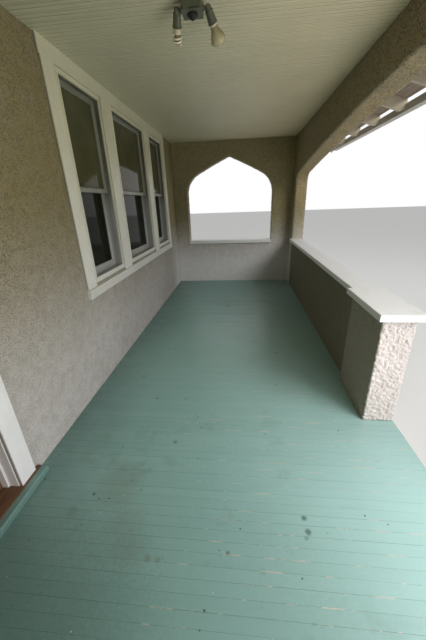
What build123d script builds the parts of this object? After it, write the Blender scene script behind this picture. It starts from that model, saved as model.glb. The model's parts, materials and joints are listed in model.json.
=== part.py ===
"""Roughcast front porch with Tudor arches, built against a piece of house wall.

Millimetres. +X points out of the house, +Y runs along the porch to its far end, +Z is up.
The origin is the middle of the whole porch in plan, at ground level.
"""
from build123d import *
from math import cos, radians, sin, sqrt
import os

# Porch plan
inner_length = 8060          # between the faces of the two end walls
inner_depth = 2420           # house wall face to the front wall's inner face
house_wall_t = 200
arch_wall_t = 220
knee_wall_t = 120

# Heights, measured from the top of the floor unless they say otherwise
floor_height = 430           # ground to the top of the floor
floor_t = 28
floor_edge_reach = 195       # floor's edge, beyond the front wall's inner face
floor_nosing = 15            # floor's edge, beyond the foundation's face
foundation_t = 180
ceiling_height = 2760
ceiling_t = 20
plate_lift = 20              # top of the front wall, above the ceiling's face
house_wall_upstand = 92      # house wall shown above the roof

# Roof
roof_pitch = 1 / 3           # rise for each unit out from the house
eave_overhang = 575
gable_overhang = 178
rafter_w = 38
rafter_plumb_depth = 125
rafter_count = 12
rafter_end_gap = 293         # end wall's inner face to the first rafter
rafter_tail_r = 60           # rounded lower corner at the eave
blocking_t = 30
deck_t = 20
covering_t = 14
covering_drip = 20
barge_t = 25
barge_depth = 150
gutter_depth = 76
gutter_top_w = 125
gutter_bottom_w = 82
gutter_t = 4
gutter_lip = 14
gutter_drop = 32             # gutter's back edge, below the roof boards

# Arch across the front
front_jamb = 272             # end wall's inner face to the arch's jamb
front_spring = 1950
front_apex = 2455
front_haunch_r = 150
front_haunch_angle = 81.5

# Arch in each end wall
end_jamb = 278               # house wall face to the arch's first jamb
end_arch_w = 1744
end_spring = 1825
end_apex = 2496
end_haunch_r = 415
end_haunch_angle = 62.4

# Knee walls, pedestals and their caps
cap_t = 48
cap_lap = 45                 # cap's overhang past the wall's faces
cap_edge = 4
knee_cap_top = 925
end_sill_top = 892
end_sill_cap_t = 60
end_sill_lap = 34
pedestal_w = 230
pedestal_proud = 45          # pedestal's inner face, in front of the wall's
pedestal_l = 580
pedestal_cap_lap = 42
far_knee_wall_l = 3600       # front wall's jamb to the far pedestal
near_knee_wall_l = 230       # front wall's jamb to the near pedestal
bedding_t = 8
arris = 10

# Triple window
window_mid_y = 1700
side_light_w = 665
middle_light_w = 1020
window_foot = 1035
window_head = 2603
casing_w = 150
mullion_casing_w = 215
casing_t = 25
head_casing_foot = 2645
head_casing_lap = 12
frame_strip = 40             # frame shown beside each casing
frame_lap = 35               # frame hidden behind each casing
frame_sill_depth = 50
frame_proud = 12
sub_sill_top = 960
sub_sill_depth = 87
sub_sill_t = 35
sub_sill_gap = 3             # shadow line between the casing's foot and the board

# Sashes
sash_t = 38
sash_gap = 4                 # between the upper and lower sash
sash_recess = 45             # frame's face to the upper sash
sash_rebate = 10
sash_clearance = 2
stile_w = 52
top_rail = 50
bottom_rail = 72
meeting_rail = 45
meeting_foot = 1790          # underside of the upper sash
glass_t = 4
putty_bevel = 9

# Doorway
door_edge_y = -1195          # doorway's edge on the window side
door_w = 960
door_head = 2100
door_casing_w = 120
door_jamb_t = 35
door_casing_reveal = 6
door_sill_t = 45
door_sill_reach = 40
door_sill_lap = 37
nosing_w = 47
nosing_t = 40
stop_w = 40
stop_t = 13
stop_recess = 60
door_t = 44
door_gap = 3
door_stile = 115
door_rail = 150
door_lock_rail_z = 950
door_panel_sink = 10
knob_r = 28
knob_h = 62                  # knob's face, from the door's
knob_neck_r = 12
knob_neck_h = 26
knob_rose_r = 32
knob_rose_t = 8
knob_inset = 62              # knob's axis, from the leaf's edge

# Ceiling light
light_x = 1105               # from the house wall's face
light_y = -115
light_box_w = 120
light_box_l = 108
light_box_h = 70
holder_r = 27
holder_h = 82
holder_neck_r = 14
holder_shoulder_r = 22
holder_shoulder_h = 14       # neck to shoulder, along the holder
holder_tilt = 38             # degrees from straight down, towards the far end
house_side_splay = 10        # degrees away from the box, holder nearer the house
front_side_splay = 21        # degrees away from the box, the other holder
arm_r = 10
arm_reach = 32
arm_h = 22                   # arms' axis, above the box's underside
bulb_neck_r = 20
bulb_neck_h = 24
bulb_r = 46
bulb_h = 112
bulb_face_h = 33             # domed face of the reflector bulb
spiral_base_r = 24
spiral_base_h = 30
spiral_neck_r = 17
spiral_r = 30
spiral_h = 88
spiral_dome = 14
sensor_r = 20
sensor_h = 16
sensor_taper = 30            # degrees

# Places worked out from the sizes
front_wall_out = inner_depth + arch_wall_t
eave_reach = front_wall_out + eave_overhang
total_depth = house_wall_t + eave_reach + gutter_top_w
x_house = -total_depth / 2 + house_wall_t
x_front = x_house + inner_depth
x_front_out = x_house + front_wall_out
x_eave = x_house + eave_reach
y_end = inner_length / 2
y_end_out = y_end + arch_wall_t
y_roof = y_end_out + gable_overhang
z_floor = floor_height
z_ceiling = z_floor + ceiling_height
z_plate = z_ceiling + plate_lift
slope_t = sqrt(1 + roof_pitch**2)


def rafter_under(x):
    """Height of the rafters' lower edge."""
    return z_plate - (x - x_front) * roof_pitch


def deck_under(x):
    """Height of the roof boards' underside."""
    return rafter_under(x) + rafter_plumb_depth


def deck_top(x):
    """Height of the roof boards' upper face."""
    return deck_under(x) + deck_t * slope_t


def covering_top(x):
    """Height of the roof covering's upper face."""
    return deck_top(x) + covering_t * slope_t


z_house_top = covering_top(x_house) + house_wall_upstand
rafter_step = (inner_length - 2 * rafter_end_gap - rafter_w) / (rafter_count - 1)


def block(x0, x1, y0, y1, z0, z1, mode=Mode.ADD):
    """A box between two corners, in the part that is being made."""
    with Locations(((x0 + x1) / 2, (y0 + y1) / 2, (z0 + z1) / 2)):
        Box(x1 - x0, y1 - y0, z1 - z0, mode=mode)


def arch_edges(mid, spring, half_span, rise, haunch_r, haunch_angle):
    """Four tangent arcs of the arch's underside, left springing to right springing."""
    haunch_u = half_span - haunch_r
    c = cos(radians(haunch_angle))
    s = sin(radians(haunch_angle))
    crown_u = haunch_u + haunch_r * c
    crown_v = spring + haunch_r * s
    apex = (mid, spring + rise)
    CenterArc((mid + haunch_u, spring), haunch_r, 0, haunch_angle)
    TangentArc((mid + crown_u, crown_v), apex, tangent=(-s, c))
    TangentArc((mid - crown_u, crown_v), apex, tangent=(s, c))
    CenterArc((mid - haunch_u, spring), haunch_r, 180 - haunch_angle, haunch_angle)


def save(part, name):
    """Label a finished piece and write it to its own file."""
    part.label = name
    export_step(part, f"parts/{name}.step")


os.makedirs("parts", exist_ok=True)

# Floor and foundations
y_pier = y_end - front_jamb
x_floor_edge = x_front + floor_edge_reach
x_foundation_out = x_floor_edge - floor_nosing

with BuildPart() as house_foundation:
    block(x_house - house_wall_t, x_house, -y_end_out, y_end_out, 0, z_floor)

with BuildPart() as front_foundation:
    block(x_foundation_out - foundation_t, x_foundation_out, -y_pier, y_pier, 0, z_floor - floor_t)

with BuildPart() as porch_floor:
    block(x_house, x_front, -y_end, y_end, z_floor - floor_t, z_floor)
    block(x_front, x_floor_edge, -y_pier, y_pier, z_floor - floor_t, z_floor)
    edge = porch_floor.edges().filter_by(Axis.Y).group_by(Axis.X)[-1].sort_by(Axis.Z)[-1]
    fillet(edge, radius=floor_t / 3)

save(house_foundation.part, "house_foundation")
save(front_foundation.part, "front_foundation")
save(porch_floor.part, "porch_floor")

# Triple window's places
side_opening = side_light_w + 2 * frame_strip
middle_opening = middle_light_w + 2 * frame_strip
window_casing_l = 2 * (casing_w + side_opening + mullion_casing_w) + middle_opening
y_window = (window_mid_y - window_casing_l / 2, window_mid_y + window_casing_l / 2)
mullion_mid = (middle_opening + mullion_casing_w) / 2
side_light_mid = (middle_opening + side_opening) / 2 + mullion_casing_w
light_places = [
    (window_mid_y - side_light_mid, side_light_w),
    (window_mid_y, middle_light_w),
    (window_mid_y + side_light_mid, side_light_w),
]
y_frame = (y_window[0] + casing_w - frame_lap, y_window[1] - casing_w + frame_lap)
z_frame = (z_floor + window_foot - frame_sill_depth, z_floor + head_casing_foot + frame_lap)

# Doorway's places
y_door = (door_edge_y - door_w, door_edge_y)
y_doorway = (y_door[0] - door_jamb_t, y_door[1] + door_jamb_t)
z_sill = z_floor + door_sill_t
z_door_head = z_floor + door_head
z_doorway_top = z_door_head + door_jamb_t

# House wall, split round the window and the doorway
x_house_back = x_house - house_wall_t

with BuildPart() as house_wall_far:
    block(x_house_back, x_house, y_frame[1], y_end_out, z_floor, z_frame[1])

with BuildPart() as house_wall_below_window:
    block(x_house_back, x_house, y_frame[0], y_frame[1], z_floor, z_frame[0])

with BuildPart() as house_wall_middle:
    block(x_house_back, x_house, y_doorway[1], y_frame[0], z_floor, z_frame[1])

with BuildPart() as house_wall_near:
    block(x_house_back, x_house, -y_end_out, y_doorway[0], z_floor, z_frame[1])

with BuildPart() as house_wall_over_door:
    block(x_house_back, x_house, y_doorway[0], y_doorway[1], z_doorway_top, z_frame[1])

with BuildPart() as house_wall_top:
    block(x_house_back, x_house, -y_end_out, y_end_out, z_frame[1], z_house_top)

save(house_wall_far.part, "house_wall_far")
save(house_wall_below_window.part, "house_wall_below_window")
save(house_wall_middle.part, "house_wall_middle")
save(house_wall_near.part, "house_wall_near")
save(house_wall_over_door.part, "house_wall_over_door")
save(house_wall_top.part, "house_wall_top")

# End walls, each with its arch
x_jamb = (x_house + end_jamb, x_house + end_jamb + end_arch_w)
x_arch_mid = x_house + end_jamb + end_arch_w / 2
z_end_spring = z_floor + end_spring
z_end_sill = z_floor + end_sill_top
z_front_spring = z_floor + front_spring


def end_wall(y_in, y_out, end_name):
    """The pieces of one end wall: house pier, knee wall, corner pier and arch head."""
    y0, y1 = min(y_in, y_out), max(y_in, y_out)
    y_pier_edge = y_in - front_jamb if y_in > 0 else y_in + front_jamb
    y2, y3 = min(y_pier_edge, y_out), max(y_pier_edge, y_out)

    with BuildPart() as house_pier:
        block(x_house, x_jamb[0], y0, y1, 0, z_end_spring)

    with BuildPart() as knee_wall:
        block(x_jamb[0], x_jamb[1], y0, y1, 0, z_end_sill - end_sill_cap_t)

    with BuildPart() as corner_pier:
        block(x_jamb[1], x_front_out, y0, y1, 0, z_end_spring)
        block(x_front, x_front_out, y2, y3, 0, z_front_spring)

    with BuildPart() as arch_head:
        with BuildSketch(Plane.XZ.offset(-y1)):
            with BuildLine():
                arch_edges(x_arch_mid, z_end_spring, end_arch_w / 2, end_apex - end_spring,
                           end_haunch_r, end_haunch_angle)
                Polyline(
                    (x_jamb[1], z_end_spring),
                    (x_front, z_end_spring),
                    (x_front, z_plate),
                    (x_front_out, z_plate),
                    (x_front_out, deck_under(x_front_out)),
                    (x_house, deck_under(x_house)),
                    (x_house, z_end_spring),
                    (x_jamb[0], z_end_spring),
                )
            make_face()
        extrude(amount=arch_wall_t)

    save(house_pier.part, f"{end_name}_house_pier")
    save(knee_wall.part, f"{end_name}_knee_wall")
    save(corner_pier.part, f"{end_name}_corner_pier")
    save(arch_head.part, f"{end_name}_arch_head")


end_wall(y_end, y_end_out, "far_end")
end_wall(-y_end, -y_end_out, "near_end")

# Wide arch across the front
with BuildPart() as front_arch:
    with BuildSketch(Plane.YZ.offset(x_front)):
        with BuildLine():
            arch_edges(0, z_front_spring, y_pier, front_apex - front_spring,
                       front_haunch_r, front_haunch_angle)
            Polyline(
                (y_pier, z_front_spring),
                (y_end_out, z_front_spring),
                (y_end_out, z_plate),
                (-y_end_out, z_plate),
                (-y_end_out, z_front_spring),
                (-y_pier, z_front_spring),
            )
        make_face()
    extrude(amount=arch_wall_t)

save(front_arch.part, "front_arch")

# Knee walls and pedestals along the front
y_pedestal_far = (y_pier - far_knee_wall_l - pedestal_l, y_pier - far_knee_wall_l)
y_pedestal_near = (near_knee_wall_l - y_pier, near_knee_wall_l + pedestal_l - y_pier)
x_pedestal = (x_front - pedestal_proud, x_front - pedestal_proud + pedestal_w)
x_knee = (x_front, x_front + knee_wall_t)
z_knee = z_floor + knee_cap_top - cap_t
z_bedding = z_knee - bedding_t


def pedestal(y_range):
    """A pedestal with softened upright corners and a bed of mortar under its cap."""
    with BuildPart() as post:
        block(*x_pedestal, *y_range, z_floor, z_bedding)
        fillet(post.edges().filter_by(Axis.Z), radius=arris)
        block(x_pedestal[0] + bedding_t, x_pedestal[1] - bedding_t,
              y_range[0] + bedding_t, y_range[1] - bedding_t, z_bedding, z_knee)
    return post.part


save(pedestal(y_pedestal_far), "far_pedestal")
save(pedestal(y_pedestal_near), "near_pedestal")

with BuildPart() as front_knee_wall:
    block(*x_knee, y_pedestal_far[1], y_pier, z_floor, z_knee)

with BuildPart() as near_knee_wall:
    block(*x_knee, -y_pier, y_pedestal_near[0], z_floor, z_knee)

save(front_knee_wall.part, "front_knee_wall")
save(near_knee_wall.part, "near_knee_wall")

# Caps of the knee walls, the pedestals and the end arches
z_cap = (z_knee, z_knee + cap_t)
x_knee_cap = (x_knee[0] - cap_lap, x_knee[1] + cap_lap)

with BuildPart() as pedestal_caps:
    for y_low, y_high in (y_pedestal_far, y_pedestal_near):
        block(x_pedestal[0] - pedestal_cap_lap, x_pedestal[1] + pedestal_cap_lap,
              y_low - pedestal_cap_lap, y_high + pedestal_cap_lap, *z_cap)
    chamfer(pedestal_caps.faces().group_by(Axis.Z)[-1].edges(), length=cap_edge)

with BuildPart() as knee_wall_caps:
    block(*x_knee_cap, y_pedestal_far[1] + pedestal_cap_lap, y_pier, *z_cap)
    block(*x_knee_cap, -y_pier, y_pedestal_near[0] - pedestal_cap_lap, *z_cap)
    long_edges = knee_wall_caps.edges().filter_by(Axis.Y).group_by(Axis.Z)[-1]
    chamfer(long_edges, length=cap_edge)

with BuildPart() as end_sill_caps:
    for y0, y1 in ((y_end, y_end_out), (-y_end_out, -y_end)):
        block(*x_jamb, y0 - end_sill_lap, y1 + end_sill_lap, z_end_sill - end_sill_cap_t, z_end_sill)
    long_edges = end_sill_caps.edges().filter_by(Axis.X).group_by(Axis.Z)[-1]
    chamfer(long_edges, length=cap_edge)

save(pedestal_caps.part, "pedestal_caps")
save(knee_wall_caps.part, "knee_wall_caps")
save(end_sill_caps.part, "end_sill_caps")

# Ceiling
with BuildPart() as ceiling:
    block(x_house, x_front, -y_end, y_end, z_ceiling, z_ceiling + ceiling_t)

save(ceiling.part, "ceiling")

# Rafters, with a seat cut over the front wall and blocking between them
with BuildPart() as rafters:
    for i in range(rafter_count):
        y_rafter = (i - (rafter_count - 1) / 2) * rafter_step - rafter_w / 2
        with BuildSketch(Plane.XZ.offset(-y_rafter - rafter_w)) as rafter_side:
            with BuildLine():
                Polyline(
                    (x_house, rafter_under(x_house)),
                    (x_front, z_plate),
                    (x_front_out, z_plate),
                    (x_front_out, rafter_under(x_front_out)),
                    (x_eave, rafter_under(x_eave)),
                    (x_eave, deck_under(x_eave)),
                    (x_house, deck_under(x_house)),
                    close=True,
                )
            make_face()
            tail = rafter_side.vertices().group_by(Axis.X)[-1].sort_by(Axis.Y)[0]
            fillet(tail, radius=rafter_tail_r)
        extrude(amount=rafter_w)
    with BuildSketch(Plane.XZ.offset(-y_end)):
        with BuildLine():
            Polyline(
                (x_front_out - blocking_t, z_plate),
                (x_front_out, z_plate),
                (x_front_out, deck_under(x_front_out)),
                (x_front_out - blocking_t, deck_under(x_front_out - blocking_t)),
                close=True,
            )
        make_face()
    extrude(amount=inner_length)

save(rafters.part, "rafters")

# Roof boards, covering and barge boards
def roof_sheet(low, high, x_out, y_reach):
    """A sloping sheet between two height rules, from the house wall out to x_out."""
    with BuildPart() as sheet:
        with BuildSketch(Plane.XZ.offset(-y_reach)):
            with BuildLine():
                Polyline(
                    (x_house, low(x_house)),
                    (x_out, low(x_out)),
                    (x_out, high(x_out)),
                    (x_house, high(x_house)),
                    close=True,
                )
            make_face()
        extrude(amount=2 * y_reach)
    return sheet.part


roof_deck = roof_sheet(deck_under, deck_top, x_eave, y_roof)
roof_covering = roof_sheet(deck_top, covering_top, x_eave + covering_drip, y_roof + barge_t)

with BuildPart() as barge_boards:
    for y_plane in (-y_roof, y_roof + barge_t):
        with BuildSketch(Plane.XZ.offset(-y_plane)):
            with BuildLine():
                Polyline(
                    (x_house, deck_top(x_house) - barge_depth * slope_t),
                    (x_eave, deck_top(x_eave) - barge_depth * slope_t),
                    (x_eave, deck_top(x_eave)),
                    (x_house, deck_top(x_house)),
                    close=True,
                )
            make_face()
        extrude(amount=barge_t)

save(roof_deck, "roof_deck")
save(roof_covering, "roof_covering")
save(barge_boards.part, "barge_boards")

# Gutter along the eave, with a moulded front and closed ends
z_gutter = deck_under(x_eave) - gutter_drop - gutter_depth

with BuildPart() as gutter:
    with BuildSketch(Plane.XZ.offset(-y_roof)):
        with BuildLine():
            Line((x_eave, z_gutter + gutter_depth), (x_eave, z_gutter))
            Line((x_eave, z_gutter), (x_eave + gutter_bottom_w, z_gutter))
            waist = (x_eave + gutter_top_w - gutter_lip, z_gutter + gutter_depth / 2)
            TangentArc((x_eave + gutter_bottom_w, z_gutter), waist, tangent=(0, 1))
            shoulder = (x_eave + gutter_top_w, z_gutter + gutter_depth - gutter_lip)
            TangentArc(shoulder, waist, tangent=(0, -1))
            Line(shoulder, (x_eave + gutter_top_w, z_gutter + gutter_depth))
            Line((x_eave + gutter_top_w, z_gutter + gutter_depth), (x_eave, z_gutter + gutter_depth))
        make_face()
    extrude(amount=2 * y_roof)
    top_face = gutter.faces().sort_by(Axis.Z)[-1]
    offset(amount=-gutter_t, openings=top_face)

save(gutter.part, "gutter")

# Window: casings, frame, sashes, glass and the board below
with BuildPart() as window_casing:
    z_foot = z_floor + sub_sill_top
    z_head = z_floor + head_casing_foot
    for y0 in (y_window[0], y_window[1] - casing_w):
        block(x_house, x_house + casing_t, y0, y0 + casing_w, z_foot, z_head)
    for side in (-1, 1):
        y_mid = window_mid_y + side * mullion_mid
        block(x_house, x_house + casing_t, y_mid - mullion_casing_w / 2,
              y_mid + mullion_casing_w / 2, z_foot, z_head)
    block(x_house, x_house + casing_t, y_window[0] - head_casing_lap,
          y_window[1] + head_casing_lap, z_head, z_ceiling)

with BuildPart() as window_frame:
    x_sash = x_house + frame_proud - sash_recess
    block(x_house_back, x_house, *y_frame, *z_frame)
    for y_mid, width in light_places:
        block(x_house, x_house + frame_proud, y_mid - width / 2 - frame_strip,
              y_mid + width / 2 + frame_strip, z_frame[0], z_head)
        block(x_sash, x_house + frame_proud, y_mid - width / 2, y_mid + width / 2,
              z_floor + window_foot, z_floor + window_head, mode=Mode.SUBTRACT)
        block(x_house_back, x_sash, y_mid - width / 2 - sash_rebate, y_mid + width / 2 + sash_rebate,
              z_floor + window_foot - sash_rebate, z_floor + window_head + sash_rebate,
              mode=Mode.SUBTRACT)

z_meeting = z_floor + meeting_foot
z_sash_foot = z_floor + window_foot - sash_rebate
z_sash_head = z_floor + window_head + sash_rebate
x_upper = (x_sash - sash_t, x_sash)
x_lower = (x_upper[0] - sash_gap - sash_t, x_upper[0] - sash_gap)


def sash_row(x_range, z_foot, z_head, foot_rail, head_rail):
    """Three sashes side by side, each bevelled round its pane."""
    with BuildPart() as row:
        for y_mid, width in light_places:
            half = width / 2 + sash_rebate - sash_clearance
            pane = half - stile_w
            block(*x_range, y_mid - half, y_mid + half, z_foot, z_head)
            block(*x_range, y_mid - pane, y_mid + pane, z_foot + foot_rail, z_head - head_rail,
                  mode=Mode.SUBTRACT)
        front = row.faces().filter_by(Axis.X).group_by(Axis.X)[-1]
        rims = [wire for face in front for wire in face.inner_wires()]
        chamfer([edge for wire in rims for edge in wire.edges()], length=putty_bevel)
    return row.part


upper_sashes = sash_row(x_upper, z_meeting, z_sash_head, meeting_rail, top_rail)
lower_sashes = sash_row(x_lower, z_sash_foot, z_meeting + meeting_rail, bottom_rail, meeting_rail)

with BuildPart() as window_glass:
    for y_mid, width in light_places:
        pane = width / 2 + sash_rebate - sash_clearance - stile_w
        for x_range, z0, z1 in (
            (x_upper, z_meeting + meeting_rail, z_sash_head - top_rail),
            (x_lower, z_sash_foot + bottom_rail, z_meeting),
        ):
            x_glass = (x_range[0] + x_range[1] - glass_t) / 2
            block(x_glass, x_glass + glass_t, y_mid - pane, y_mid + pane, z0, z1)

with BuildPart() as window_sub_sill:
    block(x_house, x_house + sub_sill_t, *y_window, z_foot - sub_sill_gap - sub_sill_depth,
          z_foot - sub_sill_gap)
    chamfer(window_sub_sill.edges().filter_by(Axis.Y).group_by(Axis.X)[-1], length=cap_edge)

save(window_casing.part, "window_casing")
save(window_frame.part, "window_frame")
save(upper_sashes, "upper_sashes")
save(lower_sashes, "lower_sashes")
save(window_glass.part, "window_glass")
save(window_sub_sill.part, "window_sub_sill")

# Doorway: casing, frame with its stop, sill, nosing and door
with BuildPart() as door_casing:
    y_in = (y_door[0] - door_casing_reveal, y_door[1] + door_casing_reveal)
    z_casing = z_door_head + door_casing_reveal
    for y0 in (y_in[0] - door_casing_w, y_in[1]):
        block(x_house, x_house + casing_t, y0, y0 + door_casing_w, z_sill, z_casing)
    block(x_house, x_house + casing_t, y_in[0] - door_casing_w - head_casing_lap,
          y_in[1] + door_casing_w + head_casing_lap, z_casing, z_casing + door_casing_w)

with BuildPart() as door_frame:
    x_stop = x_house - stop_recess
    block(x_house_back, x_house, *y_doorway, z_sill, z_doorway_top)
    block(x_house_back, x_house, *y_door, z_sill, z_door_head, mode=Mode.SUBTRACT)
    for y0 in (y_door[0], y_door[1] - stop_t):
        block(x_stop - stop_w, x_stop, y0, y0 + stop_t, z_sill, z_door_head)
    block(x_stop - stop_w, x_stop, *y_door, z_door_head - stop_t, z_door_head)

with BuildPart() as door_sill:
    y_sill = (y_in[0] - door_casing_w - door_sill_lap, y_in[1] + door_casing_w + door_sill_lap)
    block(x_house_back, x_house, *y_doorway, z_floor, z_sill)
    block(x_house, x_house + door_sill_reach, *y_sill, z_floor, z_sill)

with BuildPart() as door_sill_nosing:
    x_nosing = x_house + door_sill_reach
    block(x_nosing, x_nosing + nosing_w, *y_sill, z_floor, z_floor + nosing_t)
    chamfer(door_sill_nosing.edges().filter_by(Axis.Y).group_by(Axis.X)[-1].sort_by(Axis.Z)[-1],
            length=nosing_t / 4)

with BuildPart() as front_door:
    x_leaf = x_stop - stop_w
    y_leaf = (y_door[0] + door_gap, y_door[1] - door_gap)
    z_leaf = (z_sill, z_door_head - door_gap)
    block(x_leaf - door_t, x_leaf, *y_leaf, *z_leaf)
    y_panel = (y_leaf[0] + door_stile, y_leaf[1] - door_stile)
    z_lock = z_floor + door_lock_rail_z
    for z0, z1 in ((z_leaf[0] + door_rail, z_lock - door_rail / 2),
                   (z_lock + door_rail / 2, z_leaf[1] - door_rail)):
        for x0 in (x_leaf - door_panel_sink, x_leaf - door_t):
            block(x0, x0 + door_panel_sink, *y_panel, z0, z1, mode=Mode.SUBTRACT)
    y_knob = y_leaf[1] - knob_inset
    for x0, out in ((x_leaf, 1), (x_leaf - door_t, -1)):
        with BuildSketch(Plane(origin=(x0, y_knob, z_lock), x_dir=(0, out, 0), z_dir=(0, 0, 1))):
            with BuildLine():
                Polyline(
                    (0, 0),
                    (knob_rose_r, 0),
                    (knob_rose_r, -knob_rose_t),
                    (knob_neck_r, -knob_rose_t),
                    (knob_neck_r, -knob_neck_h),
                )
                ThreePointArc((knob_neck_r, -knob_neck_h), (knob_r, (-knob_neck_h - knob_h) / 2),
                              (knob_neck_r, -knob_h))
                Polyline((knob_neck_r, -knob_h), (0, -knob_h), (0, 0))
            make_face()
        revolve(axis=Axis((x0, y_knob, z_lock), (1, 0, 0)))

save(door_casing.part, "door_casing")
save(door_frame.part, "door_frame")
save(door_sill.part, "door_sill")
save(door_sill_nosing.part, "door_sill_nosing")
save(front_door.part, "front_door")

# Ceiling light: box with a sensor, two tilted lamp holders and their bulbs
x_light = x_house + light_x
z_light_box = z_ceiling - light_box_h

with BuildPart() as light_box:
    block(x_light - light_box_w / 2, x_light + light_box_w / 2, light_y - light_box_l / 2,
          light_y + light_box_l / 2, z_light_box, z_ceiling)
    fillet(light_box.edges().filter_by(Axis.Z), radius=arris)
    with BuildSketch(Plane.XY.offset(z_light_box)):
        with Locations((x_light, light_y)):
            Circle(sensor_r)
    extrude(amount=-sensor_h, taper=sensor_taper)


def lamp_plane(side):
    """The plane at the neck of a lamp holder, with its Z axis out along the holder."""
    neck = Vector(x_light + side * (light_box_w / 2 + arm_reach), light_y, z_light_box + arm_h)
    splay = front_side_splay if side > 0 else house_side_splay
    outward = Vector(side * sin(radians(splay)), sin(radians(holder_tilt)), -cos(radians(holder_tilt)))
    return Plane(origin=neck, x_dir=(0, cos(radians(holder_tilt)), sin(radians(holder_tilt))),
                 z_dir=outward)


def lamp_section(side, start):
    """A half-plane through a lamp's axis: X is the radius, Y the distance along the lamp."""
    base = lamp_plane(side)
    return Plane(origin=base.origin + base.z_dir * start, x_dir=base.x_dir, z_dir=base.y_dir * -1)


def lamp_axis(side):
    """The line that a lamp's round pieces turn about."""
    base = lamp_plane(side)
    return Axis(base.origin, base.z_dir)


holder_mouth = holder_h - holder_neck_r

with BuildPart() as lamp_holders:
    for side in (-1, 1):
        with BuildSketch(lamp_section(side, 0)):
            with BuildLine():
                Polyline(
                    (0, -holder_neck_r),
                    (holder_neck_r, -holder_neck_r),
                    (holder_shoulder_r, holder_shoulder_h),
                    (holder_r, holder_mouth),
                    (0, holder_mouth),
                    close=True,
                )
            make_face()
        revolve(axis=lamp_axis(side))
        with BuildSketch(Plane.YZ.offset(x_light + side * light_box_w / 2)):
            with Locations((light_y, z_light_box + arm_h)):
                Circle(arm_r)
        extrude(amount=side * arm_reach)

with BuildPart() as lamp_bulbs:
    with BuildSketch(lamp_section(-1, holder_mouth)):
        with BuildLine():
            Polyline(
                (0, 0),
                (bulb_neck_r, 0),
                (spiral_base_r, spiral_base_h),
                (spiral_neck_r, spiral_base_h),
                (spiral_r, spiral_base_h + spiral_dome),
                (spiral_r, spiral_h - spiral_dome),
            )
            TangentArc((0, spiral_h), (spiral_r, spiral_h - spiral_dome), tangent=(1, 0))
            Line((0, spiral_h), (0, 0))
        make_face()
    revolve(axis=lamp_axis(-1))
    with BuildSketch(lamp_section(1, holder_mouth)):
        with BuildLine():
            Polyline((0, bulb_h), (0, 0), (bulb_neck_r, 0), (bulb_neck_r, bulb_neck_h))
            TangentArc((bulb_neck_r, bulb_neck_h), (bulb_r, bulb_h - bulb_face_h), tangent=(0.4, 1))
            TangentArc((0, bulb_h), (bulb_r, bulb_h - bulb_face_h), tangent=(1, 0))
        make_face()
    revolve(axis=lamp_axis(1))

save(light_box.part, "light_box")
save(lamp_holders.part, "lamp_holders")
save(lamp_bulbs.part, "lamp_bulbs")
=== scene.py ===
"""Looks of the roughcast front porch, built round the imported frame. Metres, +Z up."""
import json
import math
import random

import bpy
import numpy as np
from mathutils import Matrix, Vector
from mathutils.geometry import delaunay_2d_cdt


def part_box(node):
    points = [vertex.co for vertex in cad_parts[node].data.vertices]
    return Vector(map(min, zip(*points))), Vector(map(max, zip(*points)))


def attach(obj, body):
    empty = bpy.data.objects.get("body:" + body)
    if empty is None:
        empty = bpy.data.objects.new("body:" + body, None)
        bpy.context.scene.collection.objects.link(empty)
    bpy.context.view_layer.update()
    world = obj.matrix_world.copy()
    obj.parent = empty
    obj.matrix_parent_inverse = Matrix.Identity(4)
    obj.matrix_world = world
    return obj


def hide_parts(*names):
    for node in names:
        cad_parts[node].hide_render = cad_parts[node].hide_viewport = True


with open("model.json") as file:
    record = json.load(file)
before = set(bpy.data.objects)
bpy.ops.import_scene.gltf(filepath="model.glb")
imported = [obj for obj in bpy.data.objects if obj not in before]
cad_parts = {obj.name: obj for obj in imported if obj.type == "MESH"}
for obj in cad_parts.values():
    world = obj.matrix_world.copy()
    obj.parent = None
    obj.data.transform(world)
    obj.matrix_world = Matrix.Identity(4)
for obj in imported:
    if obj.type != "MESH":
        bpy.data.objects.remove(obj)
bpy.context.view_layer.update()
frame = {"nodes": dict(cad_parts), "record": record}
nodes = frame["nodes"]
scene = bpy.context.scene

# Camera at the photo's viewpoint
CAMERA_PLACE = (-0.17448, -2.33054, 2.09750)
CAMERA_YAW, CAMERA_PITCH, CAMERA_ROLL = 0.1058, 1.1772, -0.0364
FOCAL_PIXELS, PHOTO_HEIGHT_PIXELS = 284.0477, 640
SENSOR = 36.0
camera_data = bpy.data.cameras.new("camera")
camera = bpy.data.objects.new("camera", camera_data)
scene.collection.objects.link(camera)
camera.matrix_world = (Matrix.Translation(CAMERA_PLACE) @ Matrix.Rotation(CAMERA_YAW, 4, "Z")
                       @ Matrix.Rotation(CAMERA_PITCH, 4, "X")
                       @ Matrix.Rotation(CAMERA_ROLL, 4, "Z"))
camera_data.sensor_fit = "VERTICAL"
camera_data.sensor_height = SENSOR
camera_data.sensor_width = SENSOR
camera_data.lens = FOCAL_PIXELS / PHOTO_HEIGHT_PIXELS * SENSOR
camera_data.clip_start = 0.02
camera_data.clip_end = 200
scene.camera = camera

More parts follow.
